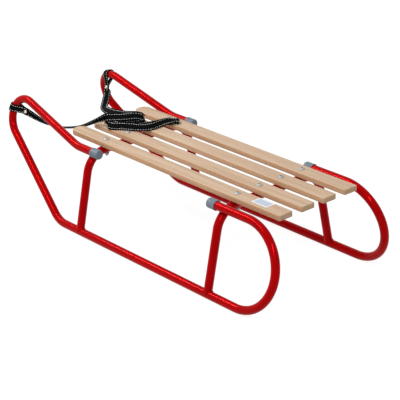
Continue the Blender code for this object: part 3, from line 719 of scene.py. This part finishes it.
# The pull strap: one length of 20 mm black webbing with a pale stitch line near each edge. Each end
# is led round a horn and riveted to itself, and the slack lies folded on the front of the seat.
STRAP_WIDTH = 0.020
STRAP_THICKNESS = 0.0016
LOOP_REACH = 0.034
LOOP_TAB = 0.007
TAB_END = 0.005
TAIL_LEAD = 0.010
LOOP_EASE = 0.0012
LOOPS = {
    "left": {"place": 150, "skew": 0.009, "turn": -15, "swing": 18},
    "right": {"place": 108, "skew": 0.000, "turn": 9, "swing": 34},
}
HANK_CENTRE = (-0.200, 0.012)
HANK_TURN = math.radians(49)
WRAP_POINTS = 37
CURVE_STEPS = 16
RING_STEP = 0.0025


def horn_frame(side, angle):
    """Middle of the horn tube at an angle of its bend, with the directions out, on and inward."""
    middle = on_side(FRONT_BOW_X - HORN_AHEAD_OF_BOW + HORN_BEND_R * math.cos(angle),
                     HORN_HEIGHT + HORN_BEND_R * math.sin(angle), side)
    lean_up = Vector((0, -side * math.sin(LEAN), math.cos(LEAN)))
    outward = math.cos(angle) * Vector((1, 0, 0)) + math.sin(angle) * lean_up
    onward = math.cos(angle) * lean_up - math.sin(angle) * Vector((1, 0, 0))
    inward = Vector((0, -side * math.cos(LEAN), -math.sin(LEAN)))
    return middle, outward, onward, inward


def strap_end(side_name):
    """The end of the strap round its horn: its line, the widths across it, and the rivet's place."""
    side, loop = SIDES[side_name], LOOPS[side_name]
    place, turn, swing = (math.radians(loop[k]) for k in ("place", "turn", "swing"))
    middle, outward, onward, inward = horn_frame(side, place)
    pull = math.cos(swing) * (math.sin(turn) * onward - math.cos(turn) * outward)
    pull += math.sin(swing) * inward
    rivet = middle + LOOP_REACH * pull
    wrap_r = TUBE_R + LOOP_EASE + STRAP_THICKNESS / 2
    toward = math.atan2(pull.dot(inward), pull.dot(outward))
    leave = math.acos(wrap_r / (LOOP_REACH - LOOP_TAB))
    points, widths = [], []
    for angle in np.linspace(toward + leave, toward + 2 * math.pi - leave, WRAP_POINTS):
        far = 0.5 - 0.5 * math.cos(angle - toward)
        centre, out, on, inner = horn_frame(side, place + loop["skew"] * far / (HORN_BEND_R + TUBE_R))
        points.append(centre + wrap_r * (math.cos(angle) * out + math.sin(angle) * inner))
        widths.append(-on)
    across = (pull * onward.dot(pull) - onward).normalized()
    through = pull.cross(across).normalized()
    if (points[0] - rivet).dot(through) < 0:
        through = -through
    layer = through * (STRAP_THICKNESS + GAP) / 2
    lead = [rivet + TAB_END * pull + layer, rivet + layer, rivet - LOOP_TAB * pull + layer]
    tail = [rivet - LOOP_TAB * pull - layer, rivet - layer, rivet + TAIL_LEAD * pull - layer]
    return lead + points + tail, [across] * 3 + widths + [across] * 3, rivet, through


def on_hank(along, across, height):
    """A point over the seat in the fold's own frame, in millimetres: along it, across it and up."""
    cos, sin = math.cos(HANK_TURN), math.sin(HANK_TURN)
    along, across, height = along / 1000, across / 1000, height / 1000
    return Vector((HANK_CENTRE[0] + along * cos + across * sin,
                   HANK_CENTRE[1] + along * sin - across * cos, SEAT_Z + height))


def hank_width(along, across, height):
    """A direction across the strap, given in the fold's own frame."""
    return (on_hank(along, across, height) - on_hank(0, 0, 0)).normalized()


STEEP = hank_width(0, -0.45, 0.89)
LEANING = hank_width(0, -0.64, 0.77)
TIPPED = hank_width(0, -0.85, 0.53)
LYING = hank_width(0, -0.98, 0.20)
SLANTED = hank_width(-0.45, -0.45, 0.77)
FLAT = hank_width(-0.90, -0.20, 0.36)
run_left = [
    ((-0.407, -0.119, 0.2140), (0.40, -0.22, 0.89)), ((-0.383, -0.110, 0.2065), (0.37, -0.57, 0.73)),
    ((-0.360, -0.102, 0.2035), (0.27, -0.73, 0.63)), ((-0.337, -0.094, 0.2050), (0.21, -0.82, 0.53)),
    ((-0.309, -0.084, 0.2107), (0.21, -0.85, 0.49)), ((-0.284, -0.073, 0.2190), (0.20, -0.86, 0.47)),
    (on_hank(-88, 5, 12), (0.16, -0.72, 0.68)), (on_hank(-72, 3, 18), (0.10, -0.30, 0.95)),
]
run_right = [
    ((-0.4330, 0.1156, 0.2211), (0.80, 0.55, 0.22)),
    ((-0.4208, 0.1021, 0.2120), (0.66, 0.75, 0.05)),
    ((-0.4063, 0.0864, 0.2058), (0.66, 0.75, 0.00)),
    ((-0.3863, 0.0681, 0.2062), (0.62, 0.78, 0.10)),
    ((-0.3619, 0.0503, 0.2121), (0.46, 0.79, 0.39)),
    ((-0.3354, 0.0354, 0.2189), (0.15, 0.66, 0.73)),
    ((-0.3090, 0.0245, 0.2244), (-0.16, 0.41, 0.90)),
    ((-0.2838, 0.0170, 0.2294), LEANING),
    ((-0.2552, 0.0120, 0.2352), LEANING),
]
hank = [(on_hank(*place), width) for place, width in (
    # first pass, to the right along the top of the fold, and its turn down behind itself
    ((-55, 8, 21.5), LEANING), ((-35, 7, 20.9), LEANING), ((-12, 6, 21.4), LEANING),
    ((6, 3, 22.0), LEANING), ((18, 1, 19.5), LEANING), ((28, -3, 13.5), SLANTED), ((20, -6, 11.8), LEANING),
    # second pass, back to the left behind and below it, and the turn there
    ((5, -4, 12), LEANING), ((-18, -2, 12), LEANING), ((-34, -1, 11.4), LEANING),
    ((-46, 3, 9.8), LEANING), ((-48, 12, 8.6), FLAT), ((-47, 22, 10), LEANING),
    # third pass, out into the long lobe, round its tip and back along the front of the fold
    ((-38, 29, 10), LEANING), ((-15, 37, 9.5), LEANING), ((10, 42, 9.3), LEANING),
    ((30, 43, 9), LEANING), ((46, 36, 8.8), LEANING), ((60, 25, 7.6), TIPPED),
    ((75, 11, 6.4), TIPPED), ((88, 4, 4.8), TIPPED), ((102, 3, 3.1), LYING), ((110, 3, 3.1), LYING),
    ((115.5, 3.2, 5.6), LYING), ((110, 3.6, 8.2), LYING), ((102, 4.5, 8.4), LYING),
    ((88, 8.5, 8.8), TIPPED), ((75, 17, 8.6), TIPPED), ((60, 32, 8.4), TIPPED), ((44, 45, 8.6), LEANING),
    ((20, 50, 8.8), LEANING), ((-5, 45.5, 10), STEEP), ((-29, 39.5, 9.9), STEEP), ((-46, 36, 8.8), LEANING),
    # last turn, under the fold and flat on the slats, then up behind it
    ((-57, 31, 10.4), LEANING), ((-60, 22, 9), FLAT), ((-58, 12, 5.4), FLAT), ((-52, 3, 4.6), LYING),
    ((-42, -4, 3.2), LYING), ((-12, -10, 3), LYING), ((8, -12, 3.2), LYING), ((20, -14, 6.2), TIPPED),
    ((24, -16.5, 10), LEANING), ((18, -17.5, 14.5), LEANING), ((5, -16.5, 17.5), LEANING),
    ((-16, -15.5, 18.7), LEANING),
)]


def smooth_line(rows, spacing):
    """Evenly spaced points on a smooth curve through the rows of a place and a width."""
    rows = [np.array((*place, *width), dtype=float) for place, width in rows]
    rows = [2 * rows[0] - rows[1]] + rows + [2 * rows[-1] - rows[-2]]
    fine = []
    for a, b, c, d in zip(rows, rows[1:], rows[2:], rows[3:]):
        for t in np.linspace(0, 1, CURVE_STEPS, endpoint=False):
            fine.append(0.5 * (2 * b + (c - a) * t + (2 * a - 5 * b + 4 * c - d) * t ** 2
                               + (3 * b - 3 * c + d - a) * t ** 3))
    fine.append(rows[-2])
    return even(np.array(fine), spacing)


def even(rows, spacing):
    """The rows taken again at an even spacing along their line."""
    reach = np.concatenate([[0], np.cumsum(np.linalg.norm(np.diff(rows[:, :3], axis=0), axis=1))])
    steps = np.linspace(0, reach[-1], round(reach[-1] / spacing) + 1)
    return np.stack([np.interp(steps, reach, rows[:, k]) for k in range(rows.shape[1])], axis=1)


end_left, widths_left, rivet_left, through_left = strap_end("left")
end_right, widths_right, rivet_right, through_right = strap_end("right")
free = smooth_line([(end_left[-1], widths_left[-1])] + run_left + hank + run_right[::-1]
                   + [(end_right[-1], widths_right[-1])], RING_STEP)
rows = [(*p, *w) for p, w in zip(end_left[:-1], widths_left[:-1])] + [tuple(row) for row in free]
rows += [(*p, *w) for p, w in zip(end_right[-2::-1], widths_right[-2::-1])]
rows = even(np.array(rows), RING_STEP)
strap_line = [Vector(row[:3]) for row in rows]
strap_frames = []
for i, point in enumerate(strap_line):
    heading = (strap_line[min(i + 1, len(strap_line) - 1)] - strap_line[max(i - 1, 0)]).normalized()
    width = Vector(rows[i][3:])
    across = (width - heading * width.dot(heading)).normalized()
    strap_frames.append((point, heading, across, heading.cross(across)))
strap_length = sum((b - a).length for a, b in zip(strap_line, strap_line[1:]))

# Webbing: black polypropylene in a herringbone weave of fine ribs, matt with a slight sheen. Its black is
# painted darker in the valleys between the ribs as shade, mixed with a random fuzzy tone
RIB_PITCH = 0.0014
webbing, tree, shader = new_finish("black_webbing", {"Specular IOR Level": 0.03})
on_strap = node(tree, "Attribute", attribute_name="on_strap")
parts = node(tree, "SeparateXYZ")
mirrored = node(tree, "Math", operation="ABSOLUTE")
slanted = node(tree, "Math", operation="ADD")
ribs = node(tree, "Math", {1: 2 * math.pi / RIB_PITCH}, operation="MULTIPLY")
wave = node(tree, "Math", operation="SINE")
fuzz = node(tree, "TexNoise", {"Scale": 900.0, "Detail": 3.0})
blacks = two_tones(tree, 0.25, (0.0010, 0.0011, 0.0012), 0.80, (0.0062, 0.0068, 0.0072))
lifted = node(tree, "MapRange", {"From Min": -1.0, "From Max": 1.0})
# Painted shade: half of the black's tone follows the ribs, darker in their valleys; the other half is
# random fuzz
shade = node(tree, "Math", {1: 0.5}, operation="MULTIPLY_ADD")
half_fuzz = node(tree, "Math", {1: 0.5}, operation="MULTIPLY")
weave = node(tree, "Bump", {"Strength": 0.6, "Distance": 0.0004})
matt = node(tree, "MapRange", {"To Min": 0.62, "To Max": 0.85})
wire(tree, (on_strap, "Vector", parts, "Vector"), (parts, "Y", mirrored, 0),
     (parts, "X", slanted, 0), (mirrored, 0, slanted, 1), (slanted, 0, ribs, 0), (ribs, 0, wave, 0),
     (wave, 0, lifted, "Value"), (on_strap, "Vector", fuzz, "Vector"), (fuzz, "Fac", half_fuzz, 0),
     (lifted, "Result", shade, 0), (half_fuzz, 0, shade, 2), (shade, 0, blacks, "Fac"),
     (blacks, "Color", shader, "Base Color"), (shade, 0, weave, "Height"),
     (weave, "Normal", shader, "Normal"), (fuzz, "Fac", matt, "Value"),
     (matt, "Result", shader, "Roughness"))

# The selvedge is rounded: how far in from the edge, and the share of the full thickness there
SELVEDGE = ((0.0, 0.0), (0.0002, 0.5), (0.0007, 0.9), (0.0015, 1.0))
half, thick = STRAP_WIDTH / 2, STRAP_THICKNESS / 2
upper = [(half - inset, share * thick) for inset, share in SELVEDGE]
upper += [(half * 0.5, thick), (0.0, thick), (-half * 0.5, thick)]
upper += [(inset - half, share * thick) for inset, share in SELVEDGE[:0:-1]]
section = upper + [(-across, -lift) for across, lift in upper]
work = bmesh.new()
rings = []
for point, heading, across, out in strap_frames:
    rings.append([work.verts.new(point + a * across + t * out) for a, t in section])
bridge(work, rings)
work.faces.new(rings[0][::-1])
work.faces.new(rings[-1])
strap = new_piece("pull_strap", work, webbing, smooth_below=50)
strap_place = strap.data.attributes.new("on_strap", "FLOAT_VECTOR", "POINT")
for i, item in enumerate(strap_place.data):
    a, t = section[i % len(section)]
    item.vector = (strap_length * (i // len(section)) / (len(rings) - 1), a, t)
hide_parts("strap_hank", "strap_lobe", "strap_run_left", "strap_run_right",
            "strap_loop_left", "strap_loop_right")

# The stitch lines: pale reflective thread, running stitch near both edges, showing on both faces
STITCH_PITCH = 0.0059
STITCH_LENGTH = 0.0034
STITCH_WIDTH = 0.0013
STITCH_RISE = 0.0005
STITCH_SINK = 0.0001
STITCH_FROM_MIDDLE = 0.0066
STITCH_RINGS = (-1.0, -0.62, 0.0, 0.62, 1.0)
STITCH_END_SWELL = 0.12
STITCH_ARCH = np.linspace(0, math.pi, 5)
SPARE_END = 0.004
thread, tree, shader = new_finish("pale_thread", {"Specular IOR Level": 0.45})
place_on_thread = node(tree, "TexCoord")
dirt = node(tree, "TexNoise", {"Scale": 220.0, "Detail": 3.0})
pales = two_tones(tree, 0.35, (0.58, 0.59, 0.58), 0.68, (0.86, 0.87, 0.85))
strands = node(tree, "TexNoise", {"Scale": 2600.0, "Detail": 2.0})
twist = node(tree, "Bump", {"Strength": 0.4, "Distance": 0.0002})
worn = node(tree, "MapRange", {"To Min": 0.40, "To Max": 0.60})
wire(tree, (place_on_thread, "Object", dirt, "Vector"),
     (place_on_thread, "Object", strands, "Vector"), (dirt, "Fac", pales, "Fac"),
     (dirt, "Fac", worn, "Value"), (pales, "Color", shader, "Base Color"),
     (worn, "Result", shader, "Roughness"), (strands, "Fac", twist, "Height"),
     (twist, "Normal", shader, "Normal"))

work = bmesh.new()
for spot in np.arange(SPARE_END, strap_length - SPARE_END, STITCH_PITCH):
    step = spot / strap_length * (len(strap_frames) - 1)
    first = min(int(step), len(strap_frames) - 2)
    here, there = strap_frames[first], strap_frames[first + 1]
    point, heading, across, out = (a.lerp(b, step - first) for a, b in zip(here, there))
    for row in (-STITCH_FROM_MIDDLE, STITCH_FROM_MIDDLE):
        for face in (-1, 1):
            base = point + row * across + face * (STRAP_THICKNESS / 2 - STITCH_SINK) * out
            rings = []
            for t in STITCH_RINGS:
                swell = math.sqrt(max(STITCH_END_SWELL, 1 - t * t * 0.92))
                spot_middle = base + t * STITCH_LENGTH / 2 * heading
                rings.append([work.verts.new(
                    spot_middle + math.cos(a) * swell * STITCH_WIDTH / 2 * across
                    + math.sin(a) * swell * (STITCH_RISE + STITCH_SINK) * face * out)
                    for a in STITCH_ARCH])
            bridge(work, rings)
            work.faces.new(rings[0])
            work.faces.new(rings[-1])
stitching = new_piece("strap_stitching", work, thread, smooth_below=60)

# The rivets: tubular brass rivets, each set through both layers of its loop with a rolled rim
RIVET_R = 0.0045
RIVET_RISE = 0.0012
RIVET_SIDES = 36
rivet_brass, tree, shader = new_finish("rivet_brass", {"Metallic": 1.0})
place_on_rivet = node(tree, "TexCoord")
tarnish = node(tree, "TexNoise", {"Scale": 420.0, "Detail": 3.0})
brasses = two_tones(tree, 0.32, (0.52, 0.43, 0.31), 0.66, (0.80, 0.74, 0.66))
rubbed = node(tree, "MapRange", {"To Min": 0.20, "To Max": 0.38})
wire(tree, (place_on_rivet, "Object", tarnish, "Vector"), (tarnish, "Fac", brasses, "Fac"),
     (tarnish, "Fac", rubbed, "Value"), (brasses, "Color", shader, "Base Color"),
     (rubbed, "Result", shader, "Roughness"))

# The rim's profile: radius, and height above the strap's face
stack = STRAP_THICKNESS + GAP
rim = [(0, 0.0002), (0.0016, 0.0002), (0.0019, 0.0008), (0.0024, RIVET_RISE), (0.0034, RIVET_RISE),
       (0.0042, 0.0008), (RIVET_R, 0.0001), (0.0043, 0.0), (RIVET_R / 2, 0.0)]
shape = [(r, z + stack) for r, z in rim] + [(r, -z - stack) for r, z in rim[::-1]]
for side_name, place, through in (("left", rivet_left, through_left),
                                  ("right", rivet_right, through_right)):
    work = bmesh.new()
    turn = through.to_track_quat("Z", "Y").to_matrix().to_4x4()
    turned(work, shape, Matrix.Translation(place) @ turn, RIVET_SIDES)
    rivet = new_piece("loop_rivet_" + side_name, work, rivet_brass, smooth_below=50)
    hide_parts("rivet_" + side_name)
print("strap length", round(strap_length, 4))
